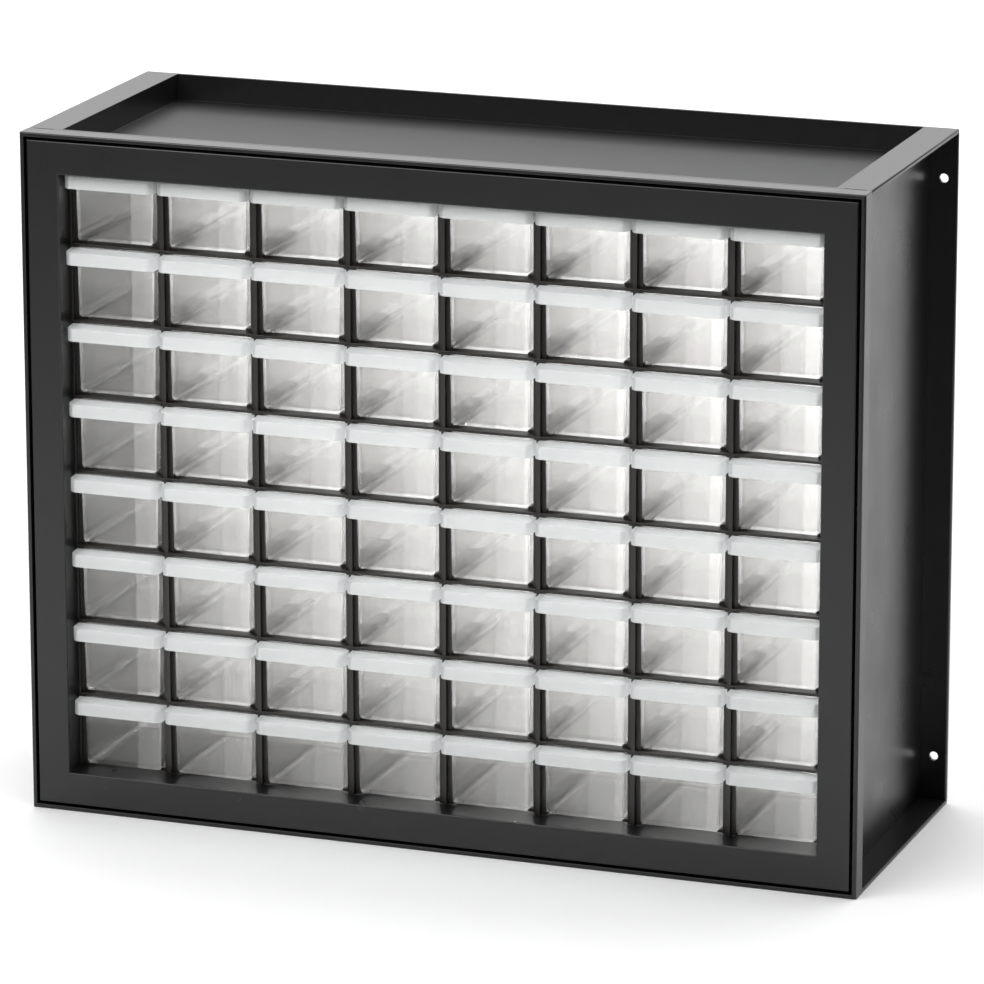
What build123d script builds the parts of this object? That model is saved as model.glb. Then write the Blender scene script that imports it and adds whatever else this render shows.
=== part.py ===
from build123d import *
import os

# Parts cabinet: a black moulded casing with eight rows of eight clear drawers.
# Millimetres. X runs across the front, Y from front to back, Z up.
# The origin is the middle of the footprint, on the surface the cabinet stands on.

# Casing
cabinet_width = 495.3
cabinet_depth = 184.0
cabinet_height = 398.0
shell_wall = 2.5
edge_radius = 1.0
collar_depth = 12.0
side_recess = 16.0
tray_depth = 15.5
tray_wall = 2.0

# Seam slots where the side rims of the trays meet the front collar
seam_slot_length = 12.0
seam_slot_width = 1.0
seam_slot_inset = 3.5

# Wall-mounting holes in the back flanges
mount_hole_diameter = 5.3
mount_hole_end_inset = 28.5

# Bezel and its opening
bezel_gap = 1.7
bezel_plate = 2.5
bezel_wall = 2.0
bezel_edge_radius = 0.8
opening_side_margin = 23.25
opening_end_margin = 23.1

# Lattice of crossing strips behind the opening
columns = 8
rows = 8
lattice_setback = 15.4
crossbar_depth = 3.0
crossbar_height = 1.6
upright_width = 2.4
flange_thickness = 3.0
slot_clearance = 0.1

# Runners behind the lattice
runner_length = 46.0
runner_height = 5.5
ledge_width = 4.3
ledge_rise = 2.0
ledge_thickness = 2.0

# Drawers
body_spacing = 8.7
drawer_length = 122.0
drawer_wall = 1.5
drawer_draft = 0.6
drawer_bottom_chamfer = 1.6
drawer_headroom = 0.4
side_clearance = 0.35
running_clearance = 0.3

# Pull lip along the top of each drawer front
lip_spacing = 1.7
lip_reach = 10.8
lip_front_height = 7.4
lip_rise = 0.8
lip_corner_radius = 4.5
lip_end_wall = 3.0

# Height by which each drawer's back wall catches on the crossbar above
stop_catch = 1.0

# Shared positions worked out from the sizes above
half_width = cabinet_width / 2
front_y = -cabinet_depth / 2
back_y = cabinet_depth / 2
middle_z = cabinet_height / 2
collar_back_y = front_y + collar_depth
flange_front_y = collar_back_y - shell_wall
lattice_front_y = front_y + lattice_setback
crossbar_back_y = lattice_front_y + crossbar_depth
flange_face_y = crossbar_back_y + slot_clearance
upright_back_y = flange_face_y + flange_thickness
tray_height = tray_depth + tray_wall
panel_outer_x = half_width - side_recess
panel_inner_x = panel_outer_x - shell_wall
opening_width = cabinet_width - 2 * opening_side_margin
opening_height = cabinet_height - 2 * opening_end_margin
column_pitch = opening_width / columns
row_pitch = (opening_height + crossbar_height) / rows

# Drawer sizes that follow from the cell that the drawer fills
drawer_width = column_pitch - body_spacing
drawer_base_z = ledge_rise + running_clearance
drawer_height = row_pitch - crossbar_height - drawer_base_z - drawer_headroom
lip_width = column_pitch - lip_spacing
stop_height = drawer_headroom + stop_catch


def column_x(column):
    """Middle of a column of drawers, counted from 1 at the left."""
    return (column - (columns + 1) / 2) * column_pitch


def upright_x(index):
    """Middle of the line between two columns; 0 and columns are the ends."""
    return (index - columns / 2) * column_pitch


def row_z(row):
    """Floor of a row of cells, counted from 1 at the top."""
    return opening_end_margin + (rows - row) * row_pitch


def save(node, name):
    """Label a finished sub-part and write it under the same name."""
    node.part.label = name
    export_step(node.part, f"parts/{name}.step")


os.makedirs("parts", exist_ok=True)

# Front collar: a shallow ring round the whole front, with a flange at its back
with BuildPart() as front_collar:
    with BuildSketch(Plane.XZ.offset(-collar_back_y)):
        with Locations((0, middle_z)):
            Rectangle(cabinet_width, cabinet_height)
            Rectangle(cabinet_width - 2 * shell_wall, cabinet_height - 2 * shell_wall, mode=Mode.SUBTRACT)
    extrude(amount=collar_depth)
    with BuildSketch(Plane.XZ.offset(-collar_back_y)):
        with Locations((0, middle_z)):
            Rectangle(cabinet_width, cabinet_height)
            Rectangle(2 * panel_inner_x, cabinet_height - 2 * tray_height, mode=Mode.SUBTRACT)
    extrude(amount=shell_wall)
    front_rim = front_collar.faces().sort_by(Axis.Y)[0]
    fillet(front_rim.outer_wire().edges(), radius=edge_radius)
save(front_collar, "front_collar")

# Bezel: a face panel with a skirt round its outside and a sleeve round the opening
bezel_inset = shell_wall + bezel_gap
bezel_width = cabinet_width - 2 * bezel_inset
bezel_height = cabinet_height - 2 * bezel_inset
with BuildPart() as front_bezel:
    with BuildSketch(Plane.XZ.offset(-front_y - bezel_plate)):
        with Locations((0, middle_z)):
            Rectangle(bezel_width, bezel_height)
            Rectangle(opening_width, opening_height, mode=Mode.SUBTRACT)
    extrude(amount=bezel_plate)
    with BuildSketch(Plane.XZ.offset(-flange_front_y)):
        with Locations((0, middle_z)):
            Rectangle(bezel_width, bezel_height)
            Rectangle(bezel_width - 2 * bezel_wall, bezel_height - 2 * bezel_wall, mode=Mode.SUBTRACT)
    extrude(until=Until.NEXT)
    with BuildSketch(Plane.XZ.offset(-crossbar_back_y)):
        with Locations((0, middle_z)):
            Rectangle(opening_width + 2 * bezel_wall, opening_height + 2 * bezel_wall)
            Rectangle(opening_width, opening_height, mode=Mode.SUBTRACT)
    extrude(until=Until.NEXT)
    fillet(front_bezel.faces().sort_by(Axis.Y)[0].edges(), radius=bezel_edge_radius)
save(front_bezel, "front_bezel")

# Top tray: a sunk floor with side rims that overhang the side panels
tray_front_y = collar_back_y
tray_length = back_y - tray_front_y
tray_middle_y = (tray_front_y + back_y) / 2
tray_width = 2 * panel_inner_x
seam_slot_x = half_width - seam_slot_inset - seam_slot_length / 2
with BuildPart() as top_tray:
    with BuildSketch(Plane.XY.offset(cabinet_height - tray_height)):
        with Locations((0, tray_middle_y)):
            Rectangle(tray_width, tray_length)
    extrude(amount=tray_height)
    with BuildSketch(Plane.XY.offset(cabinet_height - shell_wall)):
        with Locations((0, tray_middle_y)):
            Rectangle(cabinet_width, tray_length)
    extrude(amount=shell_wall)
    with BuildSketch(Plane.XY.offset(cabinet_height - tray_depth)):
        with Locations((0, tray_middle_y)):
            Rectangle(tray_width - 2 * tray_wall, tray_length - 2 * tray_wall)
    extrude(amount=tray_depth, mode=Mode.SUBTRACT)
    rim_top = top_tray.faces().sort_by(Axis.Z)[-1]
    rim_sides = rim_top.outer_wire().edges().filter_by(Axis.Y)
    fillet(rim_sides, radius=edge_radius)
    with BuildSketch(Plane.XY.offset(cabinet_height - shell_wall)):
        with Locations((-seam_slot_x, tray_front_y), (seam_slot_x, tray_front_y)):
            Rectangle(seam_slot_length, 2 * seam_slot_width)
    extrude(amount=shell_wall, mode=Mode.SUBTRACT)
save(top_tray, "top_tray")

# Bottom tray: the same moulding turned over, its recess facing the floor
with BuildPart() as bottom_tray:
    add(top_tray.part.mirror(Plane.XY.offset(middle_z)))
save(bottom_tray, "bottom_tray")

# Side panels: a recessed wall with a flange along its back edge for wall screws
panel_height = cabinet_height - 2 * shell_wall
mount_hole_x = (panel_outer_x + half_width) / 2
mount_hole_spacing = cabinet_height - 2 * mount_hole_end_inset
with BuildPart() as right_side_panel:
    with BuildSketch(Plane.XY.offset(shell_wall)):
        with BuildLine():
            Polyline(
                (panel_inner_x, collar_back_y),
                (panel_outer_x, collar_back_y),
                (panel_outer_x, back_y - shell_wall),
                (half_width, back_y - shell_wall),
                (half_width, back_y),
                (panel_inner_x, back_y),
                close=True,
            )
        make_face()
    extrude(amount=panel_height)
    outer_corner = right_side_panel.edges().filter_by(Axis.Z).group_by(Axis.X)[-1]
    fillet(outer_corner.sort_by(Axis.Y)[0], radius=edge_radius)
    with BuildSketch(Plane.XZ.offset(-back_y)):
        with Locations((mount_hole_x, middle_z)):
            with GridLocations(1, mount_hole_spacing, 1, 2):
                Circle(mount_hole_diameter / 2)
    extrude(amount=shell_wall, mode=Mode.SUBTRACT)
save(right_side_panel, "right_side_panel")

with BuildPart() as left_side_panel:
    add(right_side_panel.part.mirror(Plane.YZ))
save(left_side_panel, "left_side_panel")

# Lattice: crossbars let into slots in the ribs of flanged uprights
slot_height = crossbar_height + 2 * slot_clearance
crossbar_length = opening_width - upright_width - 2 * slot_clearance
flange_half_width = body_spacing / 2 - side_clearance
with BuildSketch() as half_upright_plan:
    with BuildLine():
        Polyline(
            (0, lattice_front_y),
            (upright_width / 2, lattice_front_y),
            (upright_width / 2, flange_face_y),
            (flange_half_width, flange_face_y),
            (flange_half_width, upright_back_y),
            (0, upright_back_y),
            close=True,
        )
    make_face()

with BuildSketch() as upright_plan:
    add(half_upright_plan.sketch)
    mirror(about=Plane.YZ)

crossbar_places = [(0, row_z(row) - crossbar_height / 2) for row in range(1, rows)]
with BuildPart() as upright:
    with BuildSketch(Plane.XY.offset(opening_end_margin)):
        add(upright_plan.sketch)
    extrude(amount=opening_height)
    with BuildSketch(Plane.XZ.offset(-flange_face_y)):
        with Locations(crossbar_places):
            Rectangle(upright_width, slot_height)
    extrude(amount=crossbar_depth + slot_clearance, mode=Mode.SUBTRACT)

with BuildPart() as lattice:
    # Crossbars between the rows
    with BuildSketch(Plane.XZ.offset(-crossbar_back_y)):
        with Locations(crossbar_places):
            Rectangle(crossbar_length, crossbar_height)
    extrude(amount=crossbar_depth)

    # Slotted uprights between the columns
    with Locations([(upright_x(index), 0, 0) for index in range(1, columns)]):
        add(upright.part)

    # Plain uprights of half the width against the sides of the opening
    with BuildSketch(Plane.XY.offset(opening_end_margin)):
        with Locations((upright_x(0), 0)):
            add(half_upright_plan.sketch)
        with Locations((upright_x(columns), 0)):
            add(half_upright_plan.sketch.mirror(Plane.YZ))
    extrude(amount=opening_height)
save(lattice, "lattice")

# Runners: low rails between the drawers, with a ledge under each drawer's edge
ledge_half_width = flange_half_width + ledge_width
ledge_base = ledge_rise - ledge_thickness
with BuildSketch() as middle_runner:
    with BuildLine():
        Polyline(
            (0, runner_height),
            (flange_half_width, runner_height),
            (flange_half_width, ledge_rise),
            (ledge_half_width, ledge_rise),
            (ledge_half_width, ledge_base),
            (0, ledge_base),
            close=True,
        )
    make_face()
    mirror(about=Plane.YZ)

with BuildSketch() as end_runner:
    add(middle_runner.sketch)
    split(bisect_by=Plane.YZ, keep=Keep.TOP)

with BuildPart() as runners:
    runner_plane = Plane.XZ.offset(-upright_back_y - runner_length)
    for row in range(1, rows + 1):
        with BuildSketch(runner_plane):
            with Locations([(upright_x(index), row_z(row)) for index in range(1, columns)]):
                add(middle_runner.sketch)
            with Locations((upright_x(0), row_z(row))):
                add(end_runner.sketch)
            with Locations((upright_x(columns), row_z(row))):
                add(end_runner.sketch.mirror(Plane.YZ))
        extrude(amount=runner_length)
save(runners, "runners")

# Drawer: a clear tapered box, its front face at Y = 0 and its underside at Z = 0
base_half_width = drawer_width / 2 - drawer_draft
floor_half_width = base_half_width + drawer_draft * drawer_wall / drawer_height - drawer_wall
lip_base_z = drawer_height - lip_rise - lip_front_height
lip_inner_reach = lip_reach - drawer_wall
lip_ceiling_z = drawer_height - drawer_wall
with BuildPart() as drawer:
    with BuildSketch(Plane.XZ.offset(-drawer_length)) as outside:
        with BuildLine():
            Polyline(
                (-base_half_width, 0),
                (base_half_width, 0),
                (drawer_width / 2, drawer_height),
                (-drawer_width / 2, drawer_height),
                close=True,
            )
        make_face()
        chamfer(outside.vertices().group_by(Axis.Y)[0], length=drawer_bottom_chamfer)
    extrude(amount=drawer_length)
    with BuildSketch(Plane.XZ.offset(-drawer_length + drawer_wall)):
        with BuildLine():
            Polyline(
                (-floor_half_width, drawer_wall),
                (floor_half_width, drawer_wall),
                (drawer_width / 2 - drawer_wall, drawer_height),
                (-drawer_width / 2 + drawer_wall, drawer_height),
                close=True,
            )
        make_face()
    extrude(amount=drawer_length - 2 * drawer_wall, mode=Mode.SUBTRACT)

    # Pull lip: a wide hood, open underneath, that rises a little towards the drawer
    with BuildSketch(Plane.YZ.offset(-lip_width / 2)):
        with BuildLine():
            Polyline(
                (0, lip_base_z),
                (-lip_reach, lip_base_z),
                (-lip_reach, drawer_height - lip_rise),
                (0, drawer_height),
                close=True,
            )
        make_face()
    extrude(amount=lip_width)
    fillet(drawer.edges().filter_by(Axis.Z).group_by(Axis.Y)[0], radius=lip_corner_radius)
    with BuildSketch(Plane.YZ.offset(lip_end_wall - lip_width / 2)):
        with BuildLine():
            Polyline(
                (0, lip_base_z),
                (-lip_inner_reach, lip_base_z),
                (-lip_inner_reach, lip_ceiling_z - lip_rise * lip_inner_reach / lip_reach),
                (0, lip_ceiling_z),
                close=True,
            )
        make_face()
    extrude(amount=lip_width - 2 * lip_end_wall, mode=Mode.SUBTRACT)

    # Stop: the back wall stands higher and meets the crossbar above when pulled out
    with BuildSketch(Plane.XY.offset(drawer_height)):
        with Locations((0, drawer_length - drawer_wall / 2)):
            Rectangle(drawer_width, drawer_wall)
    extrude(amount=stop_height)

# Each drawer stands in its cell; below the single rows they are kept in pairs
single_rows = 5
drawer_front_y = lattice_front_y - running_clearance
for row in range(1, rows + 1):
    group = 1 if row <= single_rows else 2
    for first in range(1, columns + 1, group):
        members = range(first, first + group)
        with BuildPart() as drawer_node:
            base_z = row_z(row) + drawer_base_z
            with Locations([(column_x(column), drawer_front_y, base_z) for column in members]):
                add(drawer.part)
        prefix = "drawer" if group == 1 else "drawers"
        save(drawer_node, f"{prefix}_r{row}_" + "_".join(f"c{column}" for column in members))
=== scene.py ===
import math

import bpy
import numpy as np
from mathutils import Euler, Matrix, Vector


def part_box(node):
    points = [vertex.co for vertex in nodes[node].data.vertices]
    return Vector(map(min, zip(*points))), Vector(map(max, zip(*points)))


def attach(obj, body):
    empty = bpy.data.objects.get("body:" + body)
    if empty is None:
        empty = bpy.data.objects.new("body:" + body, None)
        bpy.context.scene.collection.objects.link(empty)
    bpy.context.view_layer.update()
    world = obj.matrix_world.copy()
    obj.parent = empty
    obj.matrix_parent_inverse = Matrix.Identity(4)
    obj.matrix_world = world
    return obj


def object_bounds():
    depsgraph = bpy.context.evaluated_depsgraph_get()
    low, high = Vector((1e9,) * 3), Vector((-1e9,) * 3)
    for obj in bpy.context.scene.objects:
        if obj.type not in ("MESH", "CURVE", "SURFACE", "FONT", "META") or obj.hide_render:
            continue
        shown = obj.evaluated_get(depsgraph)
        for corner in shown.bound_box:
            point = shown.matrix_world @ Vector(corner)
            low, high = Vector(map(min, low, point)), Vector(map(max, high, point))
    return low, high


bl_info = {
    "name": "Parts Cabinet Finish",
    "version": (1, 0, 0),
    "blender": (4, 5, 0),
    "location": "3D View > Sidebar > Parts Cabinet",
    "description": "Finishes the sub-parts of a small-parts cabinet and sets its studio",
    "category": "Object",
}

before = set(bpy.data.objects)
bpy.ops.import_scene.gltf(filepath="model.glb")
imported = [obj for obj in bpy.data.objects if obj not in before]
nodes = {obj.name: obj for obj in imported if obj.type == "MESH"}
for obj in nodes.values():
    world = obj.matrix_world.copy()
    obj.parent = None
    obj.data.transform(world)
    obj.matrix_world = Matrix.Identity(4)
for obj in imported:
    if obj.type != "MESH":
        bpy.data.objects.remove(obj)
cad_low, cad_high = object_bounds()
MM = 0.001

CASING_NODES = ("front_collar", "front_bezel", "left_side_panel", "right_side_panel")
TRAY_NODES = ("top_tray", "bottom_tray")
GRID_NODES = ("lattice", "runners")
DRAWER_NODES = tuple(sorted(name for name in nodes if name.startswith("drawer")))

# Edges sharper than this get a rounding; the facets of a moulded radius lie below it
SHARP_EDGE = math.radians(30)
EDGE_SEGMENTS = 2
# Triangles that differ by less than this are one flat face
FLAT_JOIN = math.radians(0.1)
WELD_DISTANCE = 0.002 * MM

ABS_IOR = 1.53
POLYSTYRENE_IOR = 1.59
# Noise stays mostly between these two values
NOISE_LOW, NOISE_HIGH = 0.3, 0.7

# How far the shelves run into the crossbars, and lie below their tops
SHELF_OVERLAP = 0.2 * MM
SHELF_DROP = 0.02 * MM
SHELF_EDGE_POINTS = 7
# A drawer's lip is all of it that lies further than this in front of the lattice
LIP_GAP = 0.6 * MM

SENSOR_WIDTH = 36.0
FLOOR_REACH = 12.0
# Name, place, target, size (all in metres) and watts of each softbox
SOFTBOXES = (
    ("front_softbox", (-0.4, -1.0, 1.0), (0, -0.1, 0.2), (1.0, 0.6), 6.5),
    ("floor_strip", (0.0, -0.5, 0.9), (0, -0.499, 0), (2.2, 0.3), 8.0),
    ("ceiling_softbox", (0.0, 2.6, 2.5), (0.0, 2.59, 0), (6.0, 4.6), 215.0),
    ("backdrop_softbox", (-1.6, 4.9, 1.7), (-0.2, 0, 0.4), (5.0, 2.4), 45.0),
)


# ---------------------------------------------------------------- colours and nodes


def linear(hex_colour):
    """An sRGB hex colour such as "#1a1b1c" as linear RGBA, fully opaque."""
    channels = np.array([int(hex_colour[i : i + 2], 16) for i in (1, 3, 5)]) / 255
    curve = np.where(channels <= 0.04045, channels / 12.92, ((channels + 0.055) / 1.055) ** 2.4)
    return (*(float(value) for value in curve), 1.0)


def add_node(tree, kind, settings=None, links=None):
    """Add one shader node.

    settings give values to attributes or input sockets, links join input sockets to outputs.
    """
    node = tree.nodes.new(kind)
    for key, value in (settings or {}).items():
        if isinstance(key, str) and hasattr(node, key):
            setattr(node, key, value)
        else:
            node.inputs[key].default_value = value
    for key, output in (links or {}).items():
        tree.links.new(output, node.inputs[key])
    return node


def new_material(name):
    """An empty node material with its output node."""
    material = bpy.data.materials.new(name)
    material.use_nodes = True
    tree = material.node_tree
    tree.nodes.clear()
    output = tree.nodes.new("ShaderNodeOutputMaterial")
    return material, tree, output


def object_axis(tree, axis):
    """The object coordinate along one axis, in metres."""
    coordinates = add_node(tree, "ShaderNodeTexCoord")
    split = add_node(tree, "ShaderNodeSeparateXYZ", links={0: coordinates.outputs["Object"]})
    return split.outputs[axis]


def object_noise(tree, size, detail=3.0, roughness=0.5):
    """Noise whose features are about size metres across, on object coordinates."""
    coordinates = add_node(tree, "ShaderNodeTexCoord")
    return add_node(
        tree,
        "ShaderNodeTexNoise",
        {"Scale": 1.0 / size, "Detail": detail, "Roughness": roughness},
        {"Vector": coordinates.outputs["Object"]},
    )


def ramp_between(tree, value, low, high, to_low, to_high):
    """Map a value from one range to another, clamped at its ends."""
    return add_node(
        tree,
        "ShaderNodeMapRange",
        {"From Min": low, "From Max": high, "To Min": to_low, "To Max": to_high},
        {"Value": value},
    )


# ---------------------------------------------------------------- materials


def moulded_abs(settings):
    """Black ABS, injection moulded in a finely sparked tool.

    It gives a satin black face whose roughness wanders a little over some 30 mm,
    with a grain of under a millimetre that only just breaks up the highlights.
    """
    material, tree, output = new_material("moulded_abs_satin_black")
    wander = object_noise(tree, 30 * MM)
    spread = 0.03
    roughness = ramp_between(
        tree,
        wander.outputs[0],
        NOISE_LOW,
        NOISE_HIGH,
        settings.face_roughness - spread,
        settings.face_roughness + spread,
    )
    grain = object_noise(tree, 0.7 * MM, detail=2.0)
    bump = add_node(
        tree,
        "ShaderNodeBump",
        {"Strength": 0.15, "Distance": 0.02 * MM},
        {"Height": grain.outputs[0]},
    )
    surface = add_node(
        tree,
        "ShaderNodeBsdfPrincipled",
        {"Base Color": linear("#0c0c0e"), "IOR": ABS_IOR},
        {"Roughness": roughness.outputs[0], "Normal": bump.outputs[0]},
    )
    tree.links.new(surface.outputs[0], output.inputs["Surface"])
    return material


def moulded_abs_grained(settings, floor_heights):
    """The same black ABS with the coarser leather-like grain of a tray floor.

    The grain lies on the two floors only, whose heights are given in metres; it scatters
    the light of a low view into a weaker grey sheen with fine mottling.
    """
    material, tree, output = new_material("moulded_abs_grained_tray")
    height = object_axis(tree, "Z")
    tolerance = 0.3 * MM
    near = [
        add_node(
            tree,
            "ShaderNodeMath",
            {"operation": "COMPARE", 1: level, 2: tolerance},
            {0: height},
        )
        for level in floor_heights
    ]
    on_floor = add_node(
        tree,
        "ShaderNodeMath",
        {"operation": "MAXIMUM"},
        {place: level.outputs[0] for place, level in enumerate(near)},
    ).outputs[0]
    roughness = ramp_between(
        tree, on_floor, 0.0, 1.0, settings.face_roughness, settings.floor_roughness
    )
    grain = object_noise(tree, 1.1 * MM, detail=2.0, roughness=0.6)
    mottle = object_noise(tree, 9 * MM, detail=2.0)
    colour = add_node(
        tree,
        "ShaderNodeMix",
        {"data_type": "RGBA", 6: linear("#111113"), 7: linear("#1d1d1e")},
        {0: mottle.outputs[0]},
    )
    strength = ramp_between(tree, on_floor, 0.0, 1.0, 0.1, 0.6)
    bump = add_node(
        tree,
        "ShaderNodeBump",
        {"Distance": 0.06 * MM},
        {"Height": grain.outputs[0], "Strength": strength.outputs[0]},
    )
    surface = add_node(
        tree,
        "ShaderNodeBsdfPrincipled",
        {"IOR": ABS_IOR, "Specular IOR Level": 0.34},
        {
            "Base Color": colour.outputs[2],
            "Roughness": roughness.outputs[0],
            "Normal": bump.outputs[0],
        },
    )
    tree.links.new(surface.outputs[0], output.inputs["Surface"])
    return material


def moulded_polystyrene_black():
    """Black high-impact polystyrene, moulded in a polished tool.

    It is a little glossier and browner than the casing, so the lattice edges catch light.
    """
    material, tree, output = new_material("moulded_polystyrene_black")
    wander = object_noise(tree, 20 * MM)
    roughness = ramp_between(tree, wander.outputs[0], NOISE_LOW, NOISE_HIGH, 0.34, 0.44)
    surface = add_node(
        tree,
        "ShaderNodeBsdfPrincipled",
        {"Base Color": linear("#130f0b"), "IOR": POLYSTYRENE_IOR},
        {"Roughness": roughness.outputs[0]},
    )
    tree.links.new(surface.outputs[0], output.inputs["Surface"])
    return material


def moulded_polystyrene_clear(settings, lip_start):
    """Clear polystyrene, moulded, with a lip that is frosted by a blasted tool.

    The body is glass-like with a faint haze, and the lip is milky. The lip is all
    that lies in front of lip_start, an object Y in metres. Lamps shine through both.
    """
    material, tree, output = new_material("moulded_polystyrene_clear")
    depth = object_axis(tree, "Y")
    is_lip = add_node(tree, "ShaderNodeMath", {"operation": "LESS_THAN", 1: lip_start}, {0: depth})

    waves = object_noise(tree, 14 * MM, detail=1.0)
    bump = add_node(
        tree,
        "ShaderNodeBump",
        {"Strength": 0.25, "Distance": 0.05 * MM},
        {"Height": waves.outputs[0]},
    )
    clear = add_node(
        tree,
        "ShaderNodeBsdfPrincipled",
        {
            "Base Color": linear("#fcfbf9"),
            "Transmission Weight": 1.0,
            "IOR": POLYSTYRENE_IOR,
            "Roughness": settings.body_roughness,
        },
        {"Normal": bump.outputs[0]},
    )
    haze = add_node(tree, "ShaderNodeBsdfTranslucent", {"Color": linear("#f7f3ed")})
    body = add_node(
        tree,
        "ShaderNodeMixShader",
        {0: settings.body_haze},
        {1: clear.outputs[0], 2: haze.outputs[0]},
    )
    straight = add_node(tree, "ShaderNodeBsdfTransparent", {"Color": linear("#fefefe")})
    body = add_node(
        tree,
        "ShaderNodeMixShader",
        {0: settings.body_straight},
        {1: body.outputs[0], 2: straight.outputs[0]},
    )

    frosted = add_node(
        tree,
        "ShaderNodeBsdfPrincipled",
        {
            "Base Color": linear("#f6f8f8"),
            "Transmission Weight": 1.0,
            "IOR": POLYSTYRENE_IOR,
            "Roughness": settings.lip_roughness,
            "Coat Weight": 0.7,
            "Coat Roughness": 0.12,
        },
    )
    milk = add_node(tree, "ShaderNodeBsdfTranslucent", {"Color": linear("#f7f9f9")})
    skin = add_node(tree, "ShaderNodeBsdfDiffuse", {"Color": linear("#f6f7f7")})
    milky = add_node(
        tree, "ShaderNodeMixShader", {0: 0.5}, {1: milk.outputs[0], 2: skin.outputs[0]}
    )
    lip = add_node(
        tree,
        "ShaderNodeMixShader",
        {0: settings.lip_milkiness},
        {1: frosted.outputs[0], 2: milky.outputs[0]},
    )
    plastic = add_node(
        tree,
        "ShaderNodeMixShader",
        links={0: is_lip.outputs[0], 1: body.outputs[0], 2: lip.outputs[0]},
    )

    path = add_node(tree, "ShaderNodeLightPath")
    through = add_node(tree, "ShaderNodeBsdfTransparent", {"Color": linear("#f4f5f5")})
    surface = add_node(
        tree,
        "ShaderNodeMixShader",
        links={0: path.outputs["Is Shadow Ray"], 1: plastic.outputs[0], 2: through.outputs[0]},
    )
    tree.links.new(surface.outputs[0], output.inputs["Surface"])
    return material


def painted_sweep(settings):
    """Matt white paint on the studio floor."""
    material, tree, output = new_material("painted_sweep")
    surface = add_node(
        tree,
        "ShaderNodeBsdfPrincipled",
        {"Base Color": linear(settings.floor_hex), "Roughness": 0.9, "Specular IOR Level": 0.2},
    )
    tree.links.new(surface.outputs[0], output.inputs["Surface"])
    return material


# ---------------------------------------------------------------- finishing


def round_edges(node, width):
    """Weld a CAD node's triangles, join the flat ones and round its sharp edges."""
    weld = node.modifiers.new("Weld", "WELD")
    weld.merge_threshold = WELD_DISTANCE
    join = node.modifiers.new("Flat faces", "DECIMATE")
    join.decimate_type = "DISSOLVE"
    join.angle_limit = FLAT_JOIN
    bevel = node.modifiers.new("Edges", "BEVEL")
    bevel.width = width
    bevel.segments = EDGE_SEGMENTS
    bevel.limit_method = "ANGLE"
    bevel.angle_limit = SHARP_EDGE
    bevel.harden_normals = True


def finish_node(name, material, width):
    """Give a CAD node its material and rounded edges."""
    node = nodes[name]
    for slot in node.material_slots:
        slot.material = material
    round_edges(node, width)


# ---------------------------------------------------------------- new pieces


def swept_strips(profile, spans):
    """Sweep one closed profile along X over several spans, with closed ends.

    profile is an (n, 2) array of (y, z) points, counterclockwise seen from +X, relative
    to each span's place, and spans an (m, 4) array of (x_low, x_high, y, z). Point j of
    ring k of span i is (x_k, y_i + profile_jy, z_i + profile_jz), with k = 0 at the low
    end. Returns the points and faces of all the strips.
    """
    count = len(profile)
    ends = spans[:, None, :2]
    points = np.empty((len(spans), 2, count, 3))
    points[..., 0] = ends.transpose(0, 2, 1)
    points[..., 1] = spans[:, None, None, 2] + profile[:, 0]
    points[..., 2] = spans[:, None, None, 3] + profile[:, 1]
    ring = np.arange(count)
    following = np.roll(ring, -1)
    sides = np.stack([ring, following, following + count, ring + count], axis=-1)
    faces = []
    for first in range(0, 2 * count * len(spans), 2 * count):
        faces += (sides + first).tolist()
        faces += [(ring[::-1] + first).tolist(), (ring + count + first).tolist()]
    return points.reshape(-1, 3), faces


def piece_from_mesh(name, points, faces, material):
    """An object at the origin, holding one mesh of these points and faces."""
    mesh = bpy.data.meshes.new(name)
    mesh.from_pydata(points.tolist(), [], faces)
    mesh.update()
    mesh.materials.append(material)
    piece = bpy.data.objects.new(name, mesh)
    bpy.context.scene.collection.objects.link(piece)
    return piece


def crossbar_shelves(settings, low, high, material):
    """Thin shelves that carry each crossbar's top backwards under the drawers.

    Each is a plate whose back edge is a half-round: its profile follows the plate's
    underside to the back, then (y, z) = back + t/2 * (sin a, -cos a) for a from 0 to 180
    degrees round the edge, t being the thickness, and its top back to the crossbar.
    """
    thickness = settings.shelf_thickness
    front_y = low.y + settings.crossbar_depth - SHELF_OVERLAP
    radius = thickness / 2
    back = settings.shelf_depth - radius
    angles = np.radians(np.linspace(0, 180, SHELF_EDGE_POINTS))
    edge = np.stack([back + radius * np.sin(angles), -radius * (1 + np.cos(angles))], -1)
    profile = np.vstack([[(0.0, -thickness)], edge, [(0.0, 0.0)]])
    row_pitch = (high.z - low.z + settings.crossbar_height) / settings.rows
    column_pitch = (high.x - low.x) / settings.columns
    spans = [
        (
            low.x + column * column_pitch + settings.flange_width / 2,
            low.x + (column + 1) * column_pitch - settings.flange_width / 2,
            front_y,
            low.z + row * row_pitch - SHELF_DROP,
        )
        for row in range(1, settings.rows)
        for column in range(settings.columns)
    ]
    points, faces = swept_strips(profile, np.array(spans))
    return piece_from_mesh("crossbar_shelves", points, faces, material)


# ---------------------------------------------------------------- settings


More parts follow.
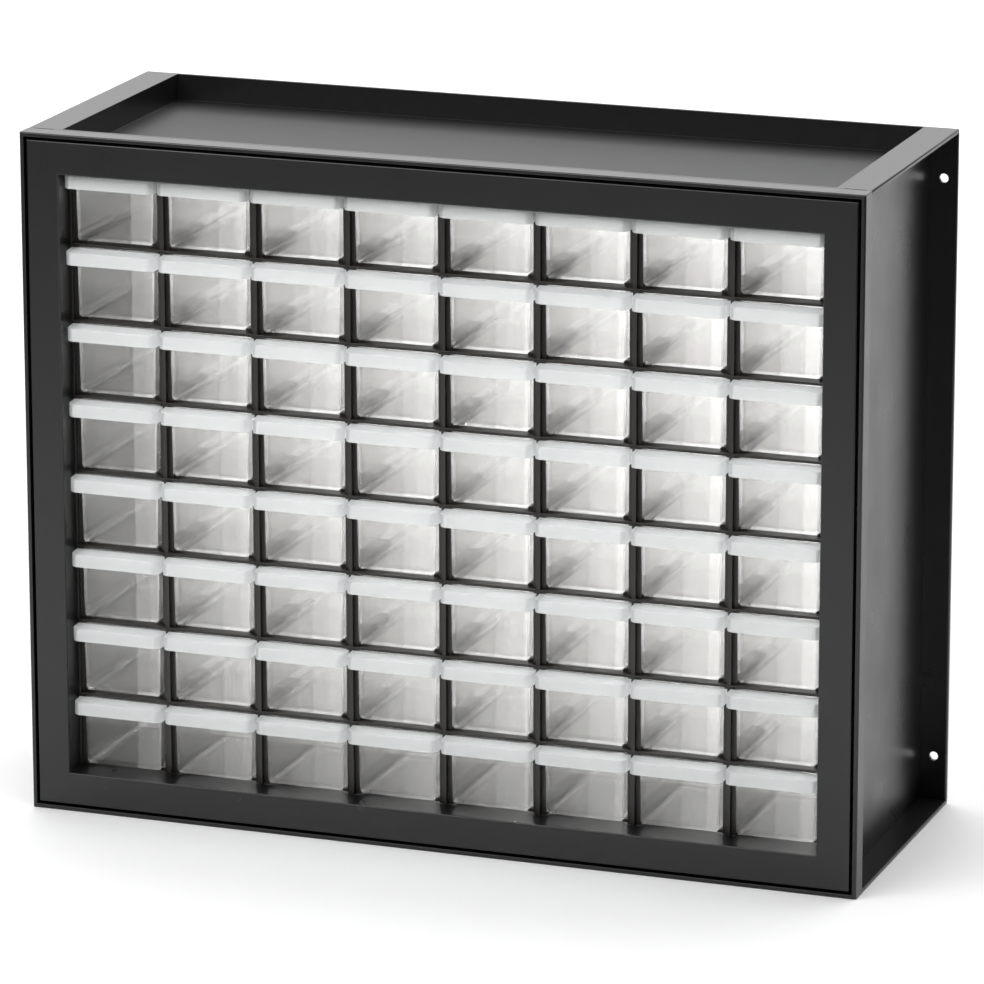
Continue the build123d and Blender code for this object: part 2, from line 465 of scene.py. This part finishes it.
class CasingSettings(bpy.types.PropertyGroup):
    """Finish of the black casing."""

    edge_radius: bpy.props.FloatProperty(
        name="Edge radius",
        description="Rounding left on the moulded edges",
        default=0.35 * MM,
        unit="LENGTH",
    )
    face_roughness: bpy.props.FloatProperty(
        name="Face roughness",
        description="Roughness of the satin faces",
        default=0.3,
        min=0.0,
        max=1.0,
        subtype="FACTOR",
    )
    floor_roughness: bpy.props.FloatProperty(
        name="Tray floor roughness",
        description="Roughness of the grained tray floor",
        default=0.52,
        min=0.0,
        max=1.0,
        subtype="FACTOR",
    )
    tray_depth: bpy.props.FloatProperty(
        name="Tray depth",
        description="Height of the tray's rim above its floor",
        default=15.5 * MM,
        unit="LENGTH",
    )


class GridSettings(bpy.types.PropertyGroup):
    """Finish of the black lattice, and the shelves behind its crossbars."""

    edge_radius: bpy.props.FloatProperty(
        name="Edge radius",
        description="Rounding left on the edges of the lattice and runners",
        default=0.25 * MM,
        unit="LENGTH",
    )
    rows: bpy.props.IntProperty(
        name="Rows",
        description="Rows of drawers",
        default=8,
        min=1,
    )
    columns: bpy.props.IntProperty(
        name="Columns",
        description="Columns of drawers",
        default=8,
        min=1,
    )
    crossbar_height: bpy.props.FloatProperty(
        name="Crossbar height",
        description="Height of the crossbars between the rows",
        default=1.6 * MM,
        unit="LENGTH",
    )
    crossbar_depth: bpy.props.FloatProperty(
        name="Crossbar depth",
        description="Depth of the crossbars from front to back",
        default=3.0 * MM,
        unit="LENGTH",
    )
    flange_width: bpy.props.FloatProperty(
        name="Flange width",
        description="Width of the uprights' flanges, between which the shelves lie",
        default=8.0 * MM,
        unit="LENGTH",
    )
    shelf_depth: bpy.props.FloatProperty(
        name="Shelf depth",
        description="How far the shelves reach behind the crossbars",
        default=7.5 * MM,
        unit="LENGTH",
    )
    shelf_thickness: bpy.props.FloatProperty(
        name="Shelf thickness",
        description="Thickness of the shelves, less than the drawers' stops leave free",
        default=0.45 * MM,
        unit="LENGTH",
    )


class DrawerSettings(bpy.types.PropertyGroup):
    """Finish of the clear drawers."""

    edge_radius: bpy.props.FloatProperty(
        name="Edge radius",
        description="Rounding left on the drawers' edges",
        default=0.45 * MM,
        unit="LENGTH",
    )
    body_roughness: bpy.props.FloatProperty(
        name="Body roughness",
        description="Roughness of the clear walls",
        default=0.04,
        min=0.0,
        max=1.0,
        subtype="FACTOR",
    )
    body_haze: bpy.props.FloatProperty(
        name="Body haze",
        description="Share of light that the clear walls scatter",
        default=0.03,
        min=0.0,
        max=1.0,
        subtype="FACTOR",
    )
    body_straight: bpy.props.FloatProperty(
        name="Body straight share",
        description="Share of light that thin walls pass without bending it",
        default=0.5,
        min=0.0,
        max=1.0,
        subtype="FACTOR",
    )
    lip_roughness: bpy.props.FloatProperty(
        name="Lip roughness",
        description="Roughness of the frosted lip",
        default=0.4,
        min=0.0,
        max=1.0,
        subtype="FACTOR",
    )
    lip_milkiness: bpy.props.FloatProperty(
        name="Lip milkiness",
        description="Share of the frosted lip that scatters light as milk does",
        default=0.5,
        min=0.0,
        max=1.0,
        subtype="FACTOR",
    )


class StudioSettings(bpy.types.PropertyGroup):
    """Camera, floor and lights."""

    azimuth: bpy.props.FloatProperty(
        name="Azimuth",
        description="Camera's turn round the cabinet, from straight in front",
        default=math.radians(19.90),
        subtype="ANGLE",
    )
    elevation: bpy.props.FloatProperty(
        name="Elevation",
        description="Camera's height above the cabinet's middle, as an angle",
        default=math.radians(14.98),
        subtype="ANGLE",
    )
    distance: bpy.props.FloatProperty(
        name="Distance",
        description="From the camera to the cabinet's middle",
        default=3.583,
        unit="LENGTH",
    )
    roll: bpy.props.FloatProperty(
        name="Roll",
        description="Camera's tilt about its own axis",
        default=math.radians(-0.08),
        subtype="ANGLE",
    )
    pan: bpy.props.FloatProperty(
        name="Pan",
        description="Camera's turn away from the cabinet's middle, to its right",
        default=math.radians(0.0174),
        subtype="ANGLE",
    )
    tilt: bpy.props.FloatProperty(
        name="Tilt",
        description="Camera's turn below the cabinet's middle",
        default=math.radians(0.1775),
        subtype="ANGLE",
    )
    lens: bpy.props.FloatProperty(
        name="Focal length",
        description="For a sensor 36 mm wide",
        default=230.0,
        subtype="DISTANCE_CAMERA",
    )
    floor_hex: bpy.props.StringProperty(
        name="Floor colour",
        description="Paint on the studio floor, as an sRGB hex value",
        default="#f4f4f4",
    )
    world_strength: bpy.props.FloatProperty(
        name="Surround",
        description="Brightness of the plain surround",
        default=0.1,
        min=0.0,
    )


# ---------------------------------------------------------------- operators


class PARTSCABINET_OT_casing(bpy.types.Operator):
    """Finish the collar, bezel, side panels and trays in moulded ABS"""

    bl_idname = "partscabinet.casing"
    bl_label = "Finish Casing"

    def execute(self, context):
        settings = context.scene.parts_cabinet_casing
        faces = moulded_abs(settings)
        floors = (cad_high.z - settings.tray_depth, cad_low.z + settings.tray_depth)
        grained = moulded_abs_grained(settings, floors)
        for name in CASING_NODES:
            finish_node(name, faces, settings.edge_radius)
        for name in TRAY_NODES:
            finish_node(name, grained, settings.edge_radius)
        return {"FINISHED"}


class PARTSCABINET_OT_grid(bpy.types.Operator):
    """Finish the lattice and the runners in black polystyrene"""

    bl_idname = "partscabinet.grid"
    bl_label = "Finish Lattice"

    def execute(self, context):
        settings = context.scene.parts_cabinet_grid
        black = moulded_polystyrene_black()
        for name in GRID_NODES:
            finish_node(name, black, settings.edge_radius)
        lattice_low, lattice_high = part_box("lattice")
        shelves = crossbar_shelves(settings, lattice_low, lattice_high, black)
        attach(shelves, "cabinet")
        return {"FINISHED"}


class PARTSCABINET_OT_drawers(bpy.types.Operator):
    """Finish the drawers in clear polystyrene with frosted lips"""

    bl_idname = "partscabinet.drawers"
    bl_label = "Finish Drawers"

    def execute(self, context):
        settings = context.scene.parts_cabinet_drawers
        lattice_low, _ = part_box("lattice")
        clear = moulded_polystyrene_clear(settings, lattice_low.y - LIP_GAP)
        for name in DRAWER_NODES:
            finish_node(name, clear, settings.edge_radius)
        return {"FINISHED"}


def area_light(name, location, target, size, energy):
    """A softbox: a rectangular lamp of size (width, height) at a place, facing a target."""
    lamp = bpy.data.lights.new(name, "AREA")
    lamp.shape = "RECTANGLE"
    lamp.size, lamp.size_y = size
    lamp.energy = energy
    light = bpy.data.objects.new(name, lamp)
    light.location = location
    light.rotation_euler = (Vector(target) - Vector(location)).to_track_quat("-Z", "Y").to_euler()
    bpy.context.scene.collection.objects.link(light)


class PARTSCABINET_OT_studio(bpy.types.Operator):
    """Set the camera, the pale floor and the soft lights"""

    bl_idname = "partscabinet.studio"
    bl_label = "Set Studio"

    def execute(self, context):
        settings = context.scene.parts_cabinet_studio
        scene = context.scene
        middle = (cad_low + cad_high) / 2

        camera_data = bpy.data.cameras.new("camera")
        camera_data.sensor_width = SENSOR_WIDTH
        camera_data.lens = settings.lens
        camera_data.clip_end = 100.0
        camera = bpy.data.objects.new("camera", camera_data)
        away = Vector(
            (
                math.sin(settings.azimuth) * math.cos(settings.elevation),
                -math.cos(settings.azimuth) * math.cos(settings.elevation),
                math.sin(settings.elevation),
            )
        )
        camera.location = middle + away * settings.distance
        facing = Euler((math.pi / 2 - settings.elevation, 0.0, settings.azimuth)).to_matrix()
        aim = Euler((-settings.tilt, -settings.pan, settings.roll)).to_matrix()
        camera.rotation_euler = (facing @ aim).to_euler()
        scene.collection.objects.link(camera)
        scene.camera = camera

        floor_mesh = bpy.data.meshes.new("studio_floor")
        reach = FLOOR_REACH
        corners = [(-reach, -reach, 0), (reach, -reach, 0), (reach, reach, 0), (-reach, reach, 0)]
        floor_mesh.from_pydata(corners, [], [(0, 1, 2, 3)])
        floor = bpy.data.objects.new("studio_floor", floor_mesh)
        floor_mesh.materials.append(painted_sweep(settings))
        scene.collection.objects.link(floor)

        for softbox in SOFTBOXES:
            area_light(*softbox)

        world = bpy.data.worlds.new("surround")
        world.use_nodes = True
        background = world.node_tree.nodes["Background"]
        background.inputs["Color"].default_value = linear("#ffffff")
        background.inputs["Strength"].default_value = settings.world_strength
        scene.world = world
        scene.view_settings.view_transform = "Standard"
        return {"FINISHED"}


class PARTSCABINET_PT_panel(bpy.types.Panel):
    """Lists the finishing steps in the 3D view's sidebar"""

    bl_idname = "PARTSCABINET_PT_panel"
    bl_label = "Parts Cabinet"
    bl_space_type = "VIEW_3D"
    bl_region_type = "UI"
    bl_category = "Parts Cabinet"

    def draw(self, context):
        layout = self.layout
        for group, operator in STEPS:
            column = layout.column(align=True)
            column.operator(operator.bl_idname)
            settings = getattr(context.scene, group)
            for name in settings.__annotations__:
                column.prop(settings, name)


SETTINGS = {
    "parts_cabinet_casing": CasingSettings,
    "parts_cabinet_grid": GridSettings,
    "parts_cabinet_drawers": DrawerSettings,
    "parts_cabinet_studio": StudioSettings,
}
STEPS = (
    ("parts_cabinet_casing", PARTSCABINET_OT_casing),
    ("parts_cabinet_grid", PARTSCABINET_OT_grid),
    ("parts_cabinet_drawers", PARTSCABINET_OT_drawers),
    ("parts_cabinet_studio", PARTSCABINET_OT_studio),
)
CLASSES = (*SETTINGS.values(), *(operator for _, operator in STEPS), PARTSCABINET_PT_panel)


def register():
    """Register the classes and hang each group of settings on the scene."""
    for cls in CLASSES:
        bpy.utils.register_class(cls)
    for name, group in SETTINGS.items():
        setattr(bpy.types.Scene, name, bpy.props.PointerProperty(type=group))


def unregister():
    """Undo register."""
    for name in SETTINGS:
        delattr(bpy.types.Scene, name)
    for cls in reversed(CLASSES):
        bpy.utils.unregister_class(cls)


def main():
    """Run every step in order."""
    register()
    bpy.ops.partscabinet.casing()
    bpy.ops.partscabinet.grid()
    bpy.ops.partscabinet.drawers()
    bpy.ops.partscabinet.studio()


if __name__ == "__main__":
    main()
